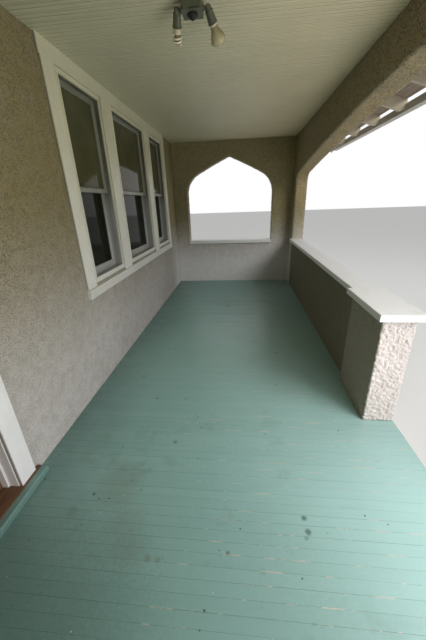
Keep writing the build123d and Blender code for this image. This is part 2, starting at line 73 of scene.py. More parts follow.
# Places read from the frame
X_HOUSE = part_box("porch_floor")[0].x
X_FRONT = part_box("front_arch")[0].x
X_FRONT_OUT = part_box("front_arch")[1].x
X_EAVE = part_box("roof_deck")[1].x
X_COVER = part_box("roof_covering")[1].x
X_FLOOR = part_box("porch_floor")[1].x
X_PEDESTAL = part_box("far_pedestal")[0].x
X_CASING_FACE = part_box("window_casing")[1].x
X_FRAME_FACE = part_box("window_frame")[1].x
X_UPPER_SASH = (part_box("upper_sashes")[0].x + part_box("upper_sashes")[1].x) / 2
Y_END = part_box("porch_floor")[1].y
Y_END_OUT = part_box("front_arch")[1].y
Y_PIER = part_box("front_foundation")[1].y
Y_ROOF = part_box("roof_deck")[1].y
Y_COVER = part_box("roof_covering")[1].y
Z_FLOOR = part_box("porch_floor")[1].z
Z_FLOOR_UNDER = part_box("porch_floor")[0].z
Z_CEILING, Z_CEILING_TOP = (corner.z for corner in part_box("ceiling"))
Z_DECK_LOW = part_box("roof_deck")[0].z
Z_MEETING_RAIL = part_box("lower_sashes")[1].z

# Sizes that no box in the frame gives
BOARD_PITCH = 0.0573  # floor boards
BEAD_PITCH = 0.0895  # ceiling boards
DECK_PITCH = 0.142  # roof boards
ROOF_RISE = 1 / 3  # up for each metre across
SLOPE = math.atan(ROOF_RISE)
DECK_T, COVER_T = 0.020, 0.014
RAFTER_COUNT, RAFTER_STEP = 12, 0.676


# Materials
class Graph:
    """A node material with short calls for the nodes that it uses."""

    def __init__(self, name, roughness, specular):
        self.material = bpy.data.materials.new(name)
        self.material.use_nodes = True
        self.tree = self.material.node_tree
        self.shader = self.tree.nodes["Principled BSDF"]
        self.shader.inputs["Roughness"].default_value = roughness
        self.shader.inputs["Specular IOR Level"].default_value = specular
        self.place = self.node("TexCoord").outputs["Object"]

    def put(self, socket, value):
        """Links a socket to an input, or sets it, with a colour made opaque."""
        if isinstance(value, bpy.types.NodeSocket):
            self.tree.links.new(value, socket)
        elif isinstance(value, tuple) and len(socket.default_value) == 4:
            socket.default_value = (*value, 1.0)
        else:
            socket.default_value = value

    def node(self, kind, inputs=None, **settings):
        """A new node with its settings and inputs."""
        node = self.tree.nodes.new(f"ShaderNode{kind}")
        for name, value in settings.items():
            setattr(node, name, value)
        for key, value in (inputs or {}).items():
            self.put(node.inputs[key], value)
        return node

    def scaled(self, x, y, z):
        return self.node("Mapping", {"Vector": self.place, "Scale": (x, y, z)}).outputs[0]

    def noise(self, scale, detail=2.0, rough=0.5, place=None, distortion=0.0):
        return self.node("TexNoise", {
            "Vector": place or self.place, "Scale": scale, "Detail": detail,
            "Roughness": rough, "Distortion": distortion}).outputs[0]

    def cells(self, scale, feature="F1", place=None, output=0):
        return self.node("TexVoronoi", {"Vector": place or self.place, "Scale": scale},
                         feature=feature).outputs[output]

    def ramp(self, value, *stops):
        """The value through two (position, grey) stops."""
        node = self.node("ValToRGB", {0: value})
        for element, (position, grey) in zip(node.color_ramp.elements, stops):
            element.position = position
            element.color = (grey, grey, grey, 1.0)
        return node.outputs[0]

    def mix(self, factor, a, b):
        return self.node("Mix", {0: factor, 6: a, 7: b}, data_type="RGBA").outputs[2]

    def math(self, operation, a, b=0.0):
        return self.node("Math", {0: a, 1: b}, operation=operation).outputs[0]

    def times(self, product, *factors):
        for factor in factors:
            product = self.math("MULTIPLY", product, factor)
        return product

    def plus(self, a, b):
        return self.math("ADD", a, b)

    def minus(self, a, b):
        return self.math("SUBTRACT", a, b)

    def over(self, a, b):
        return self.math("DIVIDE", a, b)

    def axis(self, letter):
        return self.node("SeparateXYZ", {0: self.place}).outputs[letter]

    def band(self, value, low, high):
        """Rises smoothly from 0 to 1 as the value goes from low to high."""
        return self.node("MapRange", {"Value": value, "From Min": low, "From Max": high},
                         interpolation_type="SMOOTHSTEP").outputs[0]

    def per_board(self, value, pitch):
        """A random value for each board of a pitch."""
        board = self.math("FLOOR", self.over(value, pitch))
        return self.node("TexWhiteNoise", {"W": board}, noise_dimensions="1D").outputs["Value"]

    def spots(self, scale, core, rim, strength, patches, few, many):
        """Round spots, where the noise of the patches is strong."""
        return self.times(self.ramp(self.cells(scale), (core, strength), (rim, 0.0)),
                          self.ramp(self.noise(patches, 2.0), (few, 0.0), (many, 1.0)))

    def bump(self, height, distance, strength):
        return self.node("Bump", {"Height": height, "Distance": distance,
                                  "Strength": strength}).outputs[0]

    def finish(self, colour, normal=None, roughness=None):
        inputs = {"Base Color": colour, "Normal": normal, "Roughness": roughness}
        for name, value in inputs.items():
            if value is not None:
                self.put(self.shader.inputs[name], value)
        return self.material


# Roughcast: its tones, and where in height and along the porch they start and are full. The tan
# tones high up and at the ends are painted shade; the yellow-tan on the front arch's underside and
# the pale grey low down at the ends are painted light.
WALL_LOW, WALL_HIGH_SHADE = (0.51, 0.475, 0.450), (0.445, 0.368, 0.205)
END_SHADE_TAN, SOFFIT_LIGHT_TAN, END_LIGHT_GREY = (0.375, 0.315, 0.125), (0.66, 0.49, 0.25), (0.80, 0.785, 0.80)
PEDESTAL_GREY = (0.72, 0.65, 0.63)
HIGH_Z, SOFFIT_Z, LOW_Z = (0.7, 2.3), (1.9, 2.25), (1.9, 0.8)
END_SHADE_TAN_Y, END_LIGHT_GREY_Y = (2.4, 3.9), (3.2, 3.9)


def roughcast(name, lumps, low, high, pits=1.0, pit_tone=(0.080, 0.066, 0.042), pitch=76,
              fine=150, inside_shade=None, stained=1.0):
    """Coarse render over masonry: lumps of grit, dark pits, and dirt near the ground.

    Its tone goes from low to high up the sheltered faces, as painted shade, and stays low on the
    outer ones.
    Lumps is the bump's height, and pits is how strongly the deep pits show. Pitch and fine are
    how many deep and small ones fit in a metre. Inside_shade is (start in X, full in X, tone):
    painted shade on the faces turned to the porch. Stained is how strongly the broad stains show."""
    g = Graph(name, roughness=0.93, specular=0.2)
    x, z, from_middle = g.axis("X"), g.axis("Z"), g.math("ABSOLUTE", g.axis("Y"))
    sheltered = g.times(g.band(x, X_FRONT_OUT - 0.004, X_FRONT_OUT - 0.03),
                        g.band(from_middle, Y_END_OUT - 0.004, Y_END_OUT - 0.17),
                        g.band(x, X_HOUSE - 0.16, X_HOUSE - 0.04),
                        g.band(z, Z_CEILING_TOP + 0.06, Z_CEILING_TOP))
    # Painted shade: the sheltered faces go darker and yellower high up.
    high_shade = g.times(g.band(z, *HIGH_Z), sheltered)
    tone = g.mix(high_shade, low, high)
    # Painted shade: a darker tan high up at the porch's ends.
    end_shade = g.times(g.band(from_middle, *END_SHADE_TAN_Y), high_shade)
    tone = g.mix(g.times(end_shade, 0.85), tone, END_SHADE_TAN)
    # Painted light: a yellow-tan on the underside of the front arch, for light thrown up from
    # below.
    soffit_light = g.times(g.band(z, *SOFFIT_Z), sheltered,
                     g.band(x, X_FRONT + 0.012, X_FRONT + 0.035))
    tone = g.mix(g.times(soffit_light, 0.6), tone, SOFFIT_LIGHT_TAN)
    low_down = g.times(g.band(z, *LOW_Z), sheltered)
    # Painted light: the lower sheltered faces at the porch's ends go pale grey.
    lit_low_end = g.times(g.band(from_middle, *END_LIGHT_GREY_Y), low_down)
    tone = g.mix(g.times(lit_low_end, 0.85), tone, END_LIGHT_GREY)
    # Painted shade on the faces turned to the porch.
    if inside_shade:
        start, full, inner_shade_tone = inside_shade
        tone = g.mix(g.band(x, start, full), tone, inner_shade_tone)

    # Fewer stains where the ends have that painted light.
    calm = g.minus(1.0, g.times(lit_low_end, 0.75))
    grit = g.noise(150, 3.0, 0.65)
    for pattern, start, end, patch in (
            (g.noise(0.9, 3.0, 0.55), (0.38, 0.0), (0.72, 0.30 * stained), (0.27, 0.245, 0.18)),
            (g.noise(11, 4.0, 0.6), (0.42, 0.0), (0.66, 0.30 * stained), (0.30, 0.27, 0.205)),
            (grit, (0.40, 0.45 * stained), (0.60, 0.0), (0.24, 0.215, 0.165))):
        tone = g.mix(g.times(g.ramp(pattern, start, end), calm), tone, patch)

    deep = g.times(g.ramp(g.cells(pitch), (0.24, pits), (0.40, 0.0)),
                   g.ramp(g.noise(17, 3.0, 0.6), (0.38, 0.25), (0.51, 1.0)))
    small = g.times(g.ramp(g.cells(fine), (0.22, 0.9), (0.38, 0.0)),
                    g.ramp(g.noise(31, 2.0, 0.6), (0.44, 0.0), (0.55, 1.0)))
    pitted = g.times(g.math("MAXIMUM", deep, small), g.minus(1.0, g.times(low_down, 0.72)))
    tone = g.mix(pitted, tone, pit_tone)
    dirt = g.times(g.ramp(z, (0.0, 0.5), (0.35, 0.0)),
                   g.ramp(g.noise(6, 4.0, 0.6), (0.4, 0.0), (0.65, 1.0)))
    tone = g.mix(dirt, tone, (0.20, 0.18, 0.15))
    height = g.plus(g.times(g.cells(pitch, "SMOOTH_F1"), 0.9), g.times(grit, 0.55))
    height = g.minus(height, g.times(pitted, 0.7))
    return g.finish(tone, g.bump(height, lumps, 0.9))


# Stains on the floor, with broad painted shade in the first and last rows and painted light in the
# second: x, y, radius, tone, strength
FLOOR_STAINS_LIGHT_AND_SHADE = (
    # Painted shade over the near end of the floor
    (-0.450, -2.150, 1.050, (0.150, 0.255, 0.230), 0.60),
    # Painted light over the middle of the floor
    (-0.150, 0.500, 1.250, (0.32, 0.50, 0.465), 0.36),
    (0.186, -1.239, 0.0165, (0.05, 0.10, 0.085), 0.85),
    (0.193, -1.312, 0.018, (0.05, 0.10, 0.085), 0.85),
    (0.178, -1.345, 0.012, (0.08, 0.15, 0.125), 0.6),
    (-0.235, -1.444, 0.012, (0.09, 0.12, 0.085), 0.8),
    (-0.646, -1.497, 0.018, (0.15, 0.17, 0.13), 0.7),
    (-0.590, -1.500, 0.015, (0.14, 0.16, 0.12), 0.65),
    (-1.088, -1.181, 0.011, (0.03, 0.045, 0.04), 0.9),
    (-0.952, -1.110, 0.150, (0.15, 0.18, 0.135), 0.34),
    (-0.820, -1.330, 0.120, (0.16, 0.195, 0.15), 0.26),
    (-0.760, -1.470, 0.090, (0.15, 0.185, 0.14), 0.28),
    (-1.165, -1.299, 0.034, (0.13, 0.20, 0.17), 0.5),
    # Painted shade in front of the door
    (-1.300, -2.000, 0.740, (0.078, 0.146, 0.127), 0.84),
)


def floor_paint():
    """Satin green paint on narrow boards, with painted shade near the house wall, painted light
    and some bleaching towards the open edge, and flaking at the open edge.
    """
    g = Graph("floor_paint", roughness=0.4, specular=0.5)
    x, y = g.axis("X"), g.axis("Y")
    from_end = g.plus(y, Y_END)
    tone = g.mix(g.per_board(from_end, BOARD_PITCH), (0.205, 0.352, 0.332),
                 (0.228, 0.382, 0.358))
    tone = g.mix(g.ramp(g.noise(1.1, 4.0, 0.6), (0.38, 0.0), (0.72, 0.75)), tone,
                 (0.25, 0.408, 0.382))
    streak = g.noise(1.0, 4.0, 0.7, g.scaled(2.5, 60, 1))
    tone = g.mix(g.ramp(streak, (0.35, 0.22), (0.6, 0.0)), tone, (0.16, 0.30, 0.262))
    # Painted shade: darker near the house wall, in patches.
    by_wall = g.times(g.ramp(g.minus(x, X_HOUSE), (0.0, 0.8), (0.55, 0.0)),
                      g.ramp(g.noise(5, 4.0, 0.6), (0.25, 0.6), (0.6, 1.0)))
    tone = g.mix(by_wall, tone, (0.092, 0.168, 0.147))
    # Painted light, with some bleaching: paler towards the open edge.
    bleach_and_painted_light = g.times(g.band(x, -0.7, 0.9), 0.48)
    tone = g.mix(bleach_and_painted_light, tone, (0.345, 0.505, 0.485))
    soft = g.times(g.ramp(g.noise(3.4, 5.0, 0.7), (0.57, 0.0), (0.72, 0.42)),
                   g.band(x, 0.75, 0.1))
    tone = g.mix(soft, tone, (0.125, 0.195, 0.155))
    tone = g.mix(g.spots(4.6, 0.05, 0.10, 0.7, 2.3, 0.56, 0.62), tone, (0.085, 0.14, 0.12))

    ragged = g.times(g.noise(60, 4.0, 0.7), 0.9)
    # Stains, and broad patches of painted shade and light
    for patch_x, patch_y, radius, patch_tone, strength in FLOOR_STAINS_LIGHT_AND_SHADE:
        away = [g.math("POWER", g.over(g.minus(place, centre), radius), 2.0)
                for place, centre in ((x, patch_x), (y, patch_y))]
        patch = g.times(g.band(g.plus(g.plus(*away), ragged), 2.1, 0.3), strength)
        tone = g.mix(patch, tone, patch_tone)
    tone = g.mix(g.spots(13, 0.05, 0.085, 1.0, 3.1, 0.50, 0.58), tone, (0.045, 0.055, 0.045))
    tone = g.mix(g.spots(17, 0.035, 0.06, 1.0, 2.7, 0.48, 0.58), tone, (0.52, 0.50, 0.42))

    from_board = g.math("ABSOLUTE", g.minus(g.math("FRACT", g.over(from_end, BOARD_PITCH)), 0.5))
    outer = g.ramp(g.times(g.band(x, -1.1, 0.7), g.band(y, 1.2, -0.6)), (0.0, 0.0), (0.55, 1.0))
    outer = g.times(outer, g.minus(1.14, g.times(g.band(y, -0.8, -1.7), 0.56)))
    flake = g.noise(1.0, 5.0, 0.75, g.scaled(9, 46, 1))
    flaked = g.math("GREATER_THAN", g.plus(flake, g.times(outer, 0.064)), 0.615)
    worn = g.times(flaked, g.ramp(from_board, (0.452, 0.0), (0.484, 1.0)),
                   g.ramp(outer, (0.02, 0.0), (0.35, 0.9)))
    tone = g.mix(worn, tone, (0.64, 0.50, 0.43))
    seam = g.times(g.ramp(from_board, (0.476, 0.0), (0.493, 0.30)),
                   g.ramp(g.noise(1.0, 3.0, 0.6, g.scaled(1.6, 17, 1)), (0.38, 0.25), (0.58, 1.0)))
    tone = g.mix(seam, tone, (0.075, 0.14, 0.12))
    rough = g.ramp(g.noise(9, 4.0, 0.7), (0.3, 0.27), (0.7, 0.46))
    grain = g.noise(1.0, 4.0, 0.7, g.scaled(6, 160, 6))
    height = g.minus(g.times(grain, 0.35), g.times(worn, 0.6))
    return g.finish(tone, g.bump(height, 0.0012, 0.5), rough)


def plain_paint(name, tones, roughness, grime, grain, grime_amount, across=("Z", 0.5, 3.1),
                shaded_recess=None):
    """Brushed paint of one tone, or of two that blend along an axis, with soft grime.

    Across is (axis, start, full) of that blend. Shaded_recess is (axis, start, full, tones):
    painted shade in the tones past that depth, the second of them high up."""
    g = Graph(name, roughness=roughness, specular=0.45)
    letter, start, full = across
    tone = g.mix(g.band(g.axis(letter), start, full), tones[0], tones[-1])
    # Painted shade past the set depth, darker high up.
    if shaded_recess:
        letter, start, full, shade_tones = shaded_recess
        inner = g.mix(g.band(g.axis("Z"), 2.0, 2.35), shade_tones[0], shade_tones[-1])
        tone = g.mix(g.band(g.axis(letter), start, full), tone, inner)
    soft = g.ramp(g.noise(2.3, 5.0, 0.6), (0.42, 0.0), (0.75, grime_amount))
    tone = g.mix(soft, tone, grime)
    fine = g.ramp(g.noise(38, 4.0, 0.7), (0.62, 0.0), (0.78, grime_amount))
    tone = g.mix(fine, tone, grime)
    brush = g.noise(1.0, 4.0, 0.6, g.scaled(*grain))
    tone = g.mix(g.ramp(brush, (0.3, 0.10), (0.6, 0.0)), tone, grime)
    rough = g.ramp(g.noise(14, 3.0), (0.3, roughness - 0.1), (0.7, roughness + 0.1))
    return g.finish(tone, g.bump(brush, 0.0009, 0.5), rough)


def wood(name, dark, light, grain, roughness, board_pitch=None):
    """Wood grain drawn out along one axis, with each board a little different."""
    g = Graph(name, roughness=roughness, specular=0.4)
    figure = g.noise(1.0, 5.0, 0.65, g.scaled(*grain), 0.6)
    fine = g.noise(1.0, 3.0, 0.6, g.scaled(*(4 * k for k in grain)))
    tone = g.mix(g.ramp(figure, (0.3, 0.0), (0.7, 1.0)), dark, light)
    tone = g.mix(g.ramp(fine, (0.3, 0.55), (0.6, 0.0)), tone, tuple(0.45 * k for k in dark))
    if board_pitch:
        shade = g.per_board(g.axis("X"), board_pitch)
        tone = g.mix(g.times(shade, 0.35), tone, tuple(0.6 * k for k in dark))
    return g.finish(tone, g.bump(g.plus(figure, fine), 0.0012, 0.6))


def metal_paint(name, colour, dirt, roughness):
    """Baked enamel on sheet metal, with dust and small chips."""
    g = Graph(name, roughness=roughness, specular=0.5)
    tone = g.mix(g.ramp(g.noise(5, 5.0, 0.65), (0.4, 0.0), (0.75, 0.8)), colour, dirt)
    tone = g.mix(g.ramp(g.noise(70, 3.0, 0.6), (0.66, 0.0), (0.74, 0.7)), tone, dirt)
    return g.finish(tone, g.bump(g.noise(160, 3.0), 0.0003, 0.5))


def shingle_grit():
    """Mineral granules, with each tab a little different and paler streaks down the slope."""
    g = Graph("shingle_grit", roughness=0.95, specular=0.2)
    tab = g.cells(1.0, "F1", g.scaled(6.9, 3.28, 0), "Color")
    shade = g.node("RGBToBW", {0: tab}).outputs[0]
    tone = g.mix(shade, (0.125, 0.118, 0.108), (0.215, 0.20, 0.18))
    grain = g.noise(420, 2.0, 0.7)
    tone = g.mix(g.ramp(grain, (0.42, 0.0), (0.62, 0.7)), tone, (0.33, 0.31, 0.28))
    tone = g.mix(g.ramp(grain, (0.34, 0.8), (0.44, 0.0)), tone, (0.04, 0.038, 0.036))
    streak = g.ramp(g.noise(1.0, 4.0, 0.6, g.scaled(0.5, 3.2, 0.5)), (0.5, 0.0), (0.75, 0.45))
    tone = g.mix(streak, tone, (0.09, 0.095, 0.08))
    return g.finish(tone, g.bump(grain, 0.0015, 0.8))


def dark_glass():
    """Window glass painted near black as the shade of an unlit room behind it, with a film of
    dust, and a painted paler sheen on the upper panes' porch side."""
    g = Graph("dark_glass", roughness=0.05, specular=0.07)
    dust = g.ramp(g.noise(3.0, 4.0, 0.6), (0.4, 0.0), (0.8, 1.0))
    # Painted shade of the room behind, and a painted sheen on the upper panes.
    below = g.mix(dust, (0.009, 0.010, 0.005), (0.020, 0.021, 0.012))
    above = g.mix(dust, (0.080, 0.077, 0.036), (0.115, 0.109, 0.058))
    porch_side = g.band(g.axis("X"), X_UPPER_SASH - 0.001, X_UPPER_SASH + 0.001)
    upper = g.band(g.axis("Z"), Z_MEETING_RAIL - 0.05, Z_MEETING_RAIL + 0.05)
    tone = g.mix(g.times(upper, porch_side), below, above)
    rough = g.ramp(g.noise(24, 4.0, 0.7), (0.4, 0.03), (0.8, 0.14))
    return g.finish(tone, g.bump(g.noise(2.2, 1.0), 0.004, 0.12), rough)


def bulb_glass():
    """Frosted lamp glass, greyer towards its neck."""
    g = Graph("bulb_glass", roughness=0.2, specular=0.5)
    glass = g.mix(g.noise(20, 3.0), (0.42, 0.365, 0.21), (0.50, 0.435, 0.26))
    neck = g.band(g.axis("Z"), Z_CEILING - 0.172, Z_CEILING - 0.112)
    g.put(g.shader.inputs["Subsurface Weight"], 0.12)
    g.put(g.shader.inputs["Subsurface Radius"], (0.01, 0.01, 0.008))
    return g.finish(g.mix(neck, glass, (0.22, 0.195, 0.11)))


def cap_paint():
    """White masonry paint on cast caps, grey and greenish where it has worn."""
    g = Graph("cap_paint", roughness=0.6, specular=0.4)
    tone = g.mix(g.noise(4, 4.0, 0.6), (0.84, 0.84, 0.83), (0.79, 0.79, 0.775))
    worn = g.ramp(g.noise(16, 5.0, 0.7), (0.62, 0.0), (0.72, 0.45))
    tone = g.mix(worn, tone, (0.50, 0.52, 0.47))
    tone = g.mix(g.ramp(g.noise(75, 3.0, 0.6), (0.68, 0.0), (0.75, 0.6)), tone, (0.30, 0.31, 0.27))
    height = g.plus(g.noise(60, 4.0, 0.6), g.times(worn, -0.4))
    return g.finish(tone, g.bump(height, 0.0014, 0.6))


ROUGHCAST = roughcast("roughcast", 0.006, WALL_LOW, WALL_HIGH_SHADE)
ROUGHCAST_SKIN = roughcast("roughcast_skin", 0.0045, WALL_LOW, WALL_HIGH_SHADE)
# The inner tone is painted shade on the knee walls' porch faces.
KNEE_SKIN = roughcast("knee_skin", 0.0035, WALL_LOW, WALL_HIGH_SHADE, 0.35, (0.20, 0.175, 0.14),
                      inside_shade=(X_FRONT + 0.030, X_FRONT + 0.012, (0.20, 0.182, 0.13)))
# The coat's tones run from a pale grey at the foot to a dark olive high up, as painted shade.
WALL_COAT = roughcast("wall_coat", 0.0045, (0.63, 0.595, 0.59), (0.285, 0.226, 0.083), 0.62,
                      (0.10, 0.072, 0.035), 82, 148)
# The inner tone is painted shade on the pedestals' porch faces.
PEDESTAL_SKIN = roughcast("pedestal_skin", 0.0045, PEDESTAL_GREY, PEDESTAL_GREY, 0.8,
                          (0.165, 0.14, 0.122), 68, 130, stained=0.4,
                          inside_shade=(X_PEDESTAL + 0.012, X_PEDESTAL + 0.003, (0.38, 0.355, 0.29)))
FLOOR_PAINT = floor_paint()
CAP_PAINT = cap_paint()
# Painted light: paler and yellower towards the open front. Painted shade: darker in the boards'
# grooves.
CEILING_PAINT = plain_paint("ceiling_paint", [(0.585, 0.55, 0.375), (0.83, 0.72, 0.475)], 0.42,
                            (0.45, 0.42, 0.29), (3, 60, 3), 0.22, ("X", -1.2, 0.85),
                            ("Z", Z_CEILING + 0.0012, Z_CEILING + 0.0035, [(0.17, 0.158, 0.10)]))
# Painted light and shade: the trim goes from grey white at the foot to yellow high up.
TRIM_TONES = [(0.77, 0.755, 0.765), (0.73, 0.685, 0.475)]
TRIM_GRIME = (0.46, 0.44, 0.34)
UPRIGHT = (25, 25, 4)  # brush marks that run up
TRIM_PAINT = plain_paint("trim_paint", TRIM_TONES, 0.38, TRIM_GRIME, UPRIGHT, 0.26)
# Painted light and shade: yellower high up, and painted shade on the faces set back past the
# frame's face, darkest high up.
FRAME_PAINT = plain_paint("frame_paint", TRIM_TONES, 0.4, TRIM_GRIME, UPRIGHT, 0.28,
                          shaded_recess=("X", X_FRAME_FACE - 0.004, X_FRAME_FACE - 0.010,
                                  [(0.34, 0.335, 0.32), (0.085, 0.08, 0.055)]))
# Painted light and shade: yellower high up, and painted shade on its sides, past its face.
CASING_PAINT = plain_paint("casing_paint", [(0.87, 0.85, 0.87), (0.70, 0.66, 0.46)], 0.38,
                           TRIM_GRIME, UPRIGHT, 0.26,
                           shaded_recess=("X", X_CASING_FACE - 0.005, X_CASING_FACE - 0.010,
                                   [(0.30, 0.285, 0.25), (0.20, 0.185, 0.13)]))
# Painted shade: the sashes go darker high up.
SASH_PAINT = plain_paint("sash_paint", [(0.44, 0.445, 0.42), (0.225, 0.22, 0.165)], 0.4,
                         (0.20, 0.195, 0.15), UPRIGHT, 0.3, ("Z", 1.7, 2.35))
BARGE_PAINT = plain_paint("barge_paint", [(0.70, 0.69, 0.64)], 0.5, (0.42, 0.40, 0.34),
                          (4, 25, 25), 0.3)
RAFTER_PAINT = plain_paint("rafter_paint", [(0.62, 0.54, 0.41)], 0.6, (0.36, 0.30, 0.22),
                           (4, 40, 40), 0.35)
DOOR_WOOD = wood("door_wood", (0.13, 0.06, 0.028), (0.30, 0.155, 0.07), (30, 30, 2.2), 0.35)
SILL_WOOD = wood("sill_wood", (0.07, 0.036, 0.018), (0.19, 0.10, 0.055), (34, 2.5, 30), 0.5)
ROOF_BOARDS = wood("roof_boards", (0.40, 0.315, 0.245), (0.66, 0.53, 0.42), (14, 1.2, 14), 0.8,
                   DECK_PITCH)
SHINGLE_GRIT = shingle_grit()
GUTTER_METAL = metal_paint("gutter_metal", (0.57, 0.54, 0.45), (0.36, 0.335, 0.27), 0.42)
LAMP_METAL = metal_paint("lamp_metal", (0.098, 0.105, 0.066), (0.05, 0.052, 0.033), 0.4)
SENSOR_BLACK = metal_paint("sensor_black", (0.007, 0.007, 0.005), (0.018, 0.018, 0.014), 0.5)
GLASS = dark_glass()
BULB_GLASS = bulb_glass()
EVEN = (30, 30, 30)  # marks with no direction
LAMP_PLASTIC = plain_paint("lamp_plastic", [(0.60, 0.545, 0.35)], 0.35, (0.40, 0.34, 0.20),
                           EVEN, 0.3)
COIL_GLASS = plain_paint("coil_glass", [(0.80, 0.74, 0.53)], 0.3, (0.55, 0.49, 0.33), EVEN, 0.2)
COIL_SHADE = plain_paint("coil_shade", [(0.27, 0.19, 0.115)], 0.6, (0.10, 0.06, 0.035), EVEN, 0.3)

PAINT_OF_SLOT = {
    "roughcast": ROUGHCAST, "floor_paint": FLOOR_PAINT, "cap_paint": CAP_PAINT,
    "ceiling_paint": CEILING_PAINT, "trim_paint": TRIM_PAINT, "sash_paint": SASH_PAINT,
    "glass": GLASS, "door_wood": DOOR_WOOD, "sill_wood": SILL_WOOD, "roof_boards": ROOF_BOARDS,
    "rafter_paint": RAFTER_PAINT, "roof_covering": SHINGLE_GRIT, "gutter_metal": GUTTER_METAL,
    "lamp_metal": LAMP_METAL, "bulb_glass": BULB_GLASS,
}
PAINT_OF_NODE = {
    "barge_boards": BARGE_PAINT, "window_frame": FRAME_PAINT,
    "window_casing": CASING_PAINT, "door_casing": CASING_PAINT,
}
for row in frame["record"]["subparts"]:
    mesh = nodes[row["node"]].data
    mesh.materials.clear()
    mesh.materials.append(PAINT_OF_NODE.get(row["node"], PAINT_OF_SLOT[row["material_slot"]]))


# Mesh tools
def soften(obj, width):
    """Rounds the edges of a hard piece."""
    bevel = obj.modifiers.new("soften", "BEVEL")
    bevel.width = width
    bevel.segments = 2
    bevel.limit_method = "ANGLE"
    bevel.angle_limit = math.radians(35)


def piece(name, verts, faces, material, slot, replaced=(), smooth=False, edge=0.0):
    """A mesh object that rides on the body, in one material."""
    mesh = bpy.data.meshes.new(name)
    mesh.from_pydata(verts, [], faces)
    mesh.validate()
    mesh.materials.append(material)
    if smooth:
        mesh.shade_smooth()
    obj = bpy.data.objects.new(name, mesh)
    scene.collection.objects.link(obj)
    if edge:
        soften(obj, edge)
    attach(obj, "root")
    if replaced:
        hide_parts(*replaced)


class Pile:
    """Verts and faces of many small closed forms, joined in one mesh."""

    def __init__(self):
        self.verts = []
        self.faces = []

    def prism(self, ring_a, ring_b):
        """A closed form between two like rings of points."""
        n, first = len(ring_a), len(self.verts)
        self.verts += [tuple(v) for v in (*ring_a, *ring_b)]
        faces = [tuple(reversed(range(n))), tuple(range(n, 2 * n))]
        faces += [(i, (i + 1) % n, (i + 1) % n + n, i + n) for i in range(n)]
        self.faces += [tuple(first + i for i in face) for face in faces]

    def bar(self, x, y, z):
        """A box from three (low, high) pairs."""
        ring = [(x[0], y[0]), (x[1], y[0]), (x[1], y[1]), (x[0], y[1])]
        self.prism([(a, b, z[0]) for a, b in ring], [(a, b, z[1]) for a, b in ring])

    def join_rings(self, start, rings, sides):
        """Faces between rings of verts that lie one after the other."""
        for r in range(rings - 1):
            a, b = start + r * sides, start + (r + 1) * sides
            for k in range(sides):
                n = (k + 1) % sides
                self.faces.append((a + k, a + n, b + n, b + k))

    def lathe(self, place, profile, sides=40):
        """A turned form: profile is (radius, distance) pairs, closed on the axis at both ends."""
        start, rings = len(self.verts), len(profile) - 2
        for radius, distance in profile[1:-1]:
            for k in range(sides):
                turn = 2 * math.pi * k / sides
                spot = Vector((radius * math.cos(turn), radius * math.sin(turn), distance))
                self.verts.append(tuple(place @ spot))
        self.join_rings(start, rings, sides)
        foot, tip = len(self.verts), len(self.verts) + 1
        self.verts += [tuple(place @ Vector((0, 0, profile[end][1]))) for end in (0, -1)]
        last = start + (rings - 1) * sides
        for k in range(sides):
            n = (k + 1) % sides
            self.faces += [(foot, start + n, start + k), (last + k, last + n, tip)]

    def tube(self, points, radius, sides=14):
        """A round tube along points, closed at its ends."""
        points = [Vector(p) for p in points]
        along = [(points[min(i + 1, len(points) - 1)] - points[max(i - 1, 0)]).normalized()
                 for i in range(len(points))]
        across = along[0].orthogonal().normalized()
        start = len(self.verts)
        for point, way in zip(points, along):
            across = (across - way * across.dot(way)).normalized()
            other = way.cross(across)
            for k in range(sides):
                turn = 2 * math.pi * k / sides
                self.verts.append(tuple(point + radius * (across * math.cos(turn)
                                                          + other * math.sin(turn))))
        self.join_rings(start, len(points), sides)
        last = start + (len(points) - 1) * sides
        self.faces += [tuple(start + k for k in reversed(range(sides))),
                       tuple(last + k for k in range(sides))]

    def make(self, name, material, slot, **extra):
        piece(name, self.verts, self.faces, material, slot, **extra)


# Floor and ceiling
def floor_boards():
    """Boards laid across the porch, each a little out of level and of its own length."""
    rng = random.Random(3)
    pile = Pile()
    gap, sunk, tilt, ragged = 0.0002, 0.0008, 0.0005, 0.003
    count = round(2 * Y_END / BOARD_PITCH)
    for i in range(count):
        y0 = -Y_END + i * BOARD_PITCH + (gap if i else 0)
        y1 = min(-Y_END + (i + 1) * BOARD_PITCH - gap, Y_END) if i < count - 1 else Y_END
        cuts = [y0] + [y for y in (-Y_PIER, Y_PIER) if y0 < y < y1] + [y1]
        lift = rng.uniform(-sunk, 0.0)
        tip = rng.uniform(-tilt, tilt)
        for a, b in zip(cuts, cuts[1:]):
            reach = X_FLOOR if abs(a + b) / 2 < Y_PIER else X_FRONT
            reach -= rng.uniform(0.0, ragged)
            low = [(X_HOUSE, a, Z_FLOOR_UNDER), (reach, a, Z_FLOOR_UNDER),
                   (reach, b, Z_FLOOR_UNDER), (X_HOUSE, b, Z_FLOOR_UNDER)]
            top = [(x, y, Z_FLOOR + lift + (tip if y == a else -tip) - tilt) for x, y, _ in low]
            pile.prism(low, top)
    pile.make("floor_boards", FLOOR_PAINT, "floor_paint", replaced=("porch_floor",), edge=0.0005)


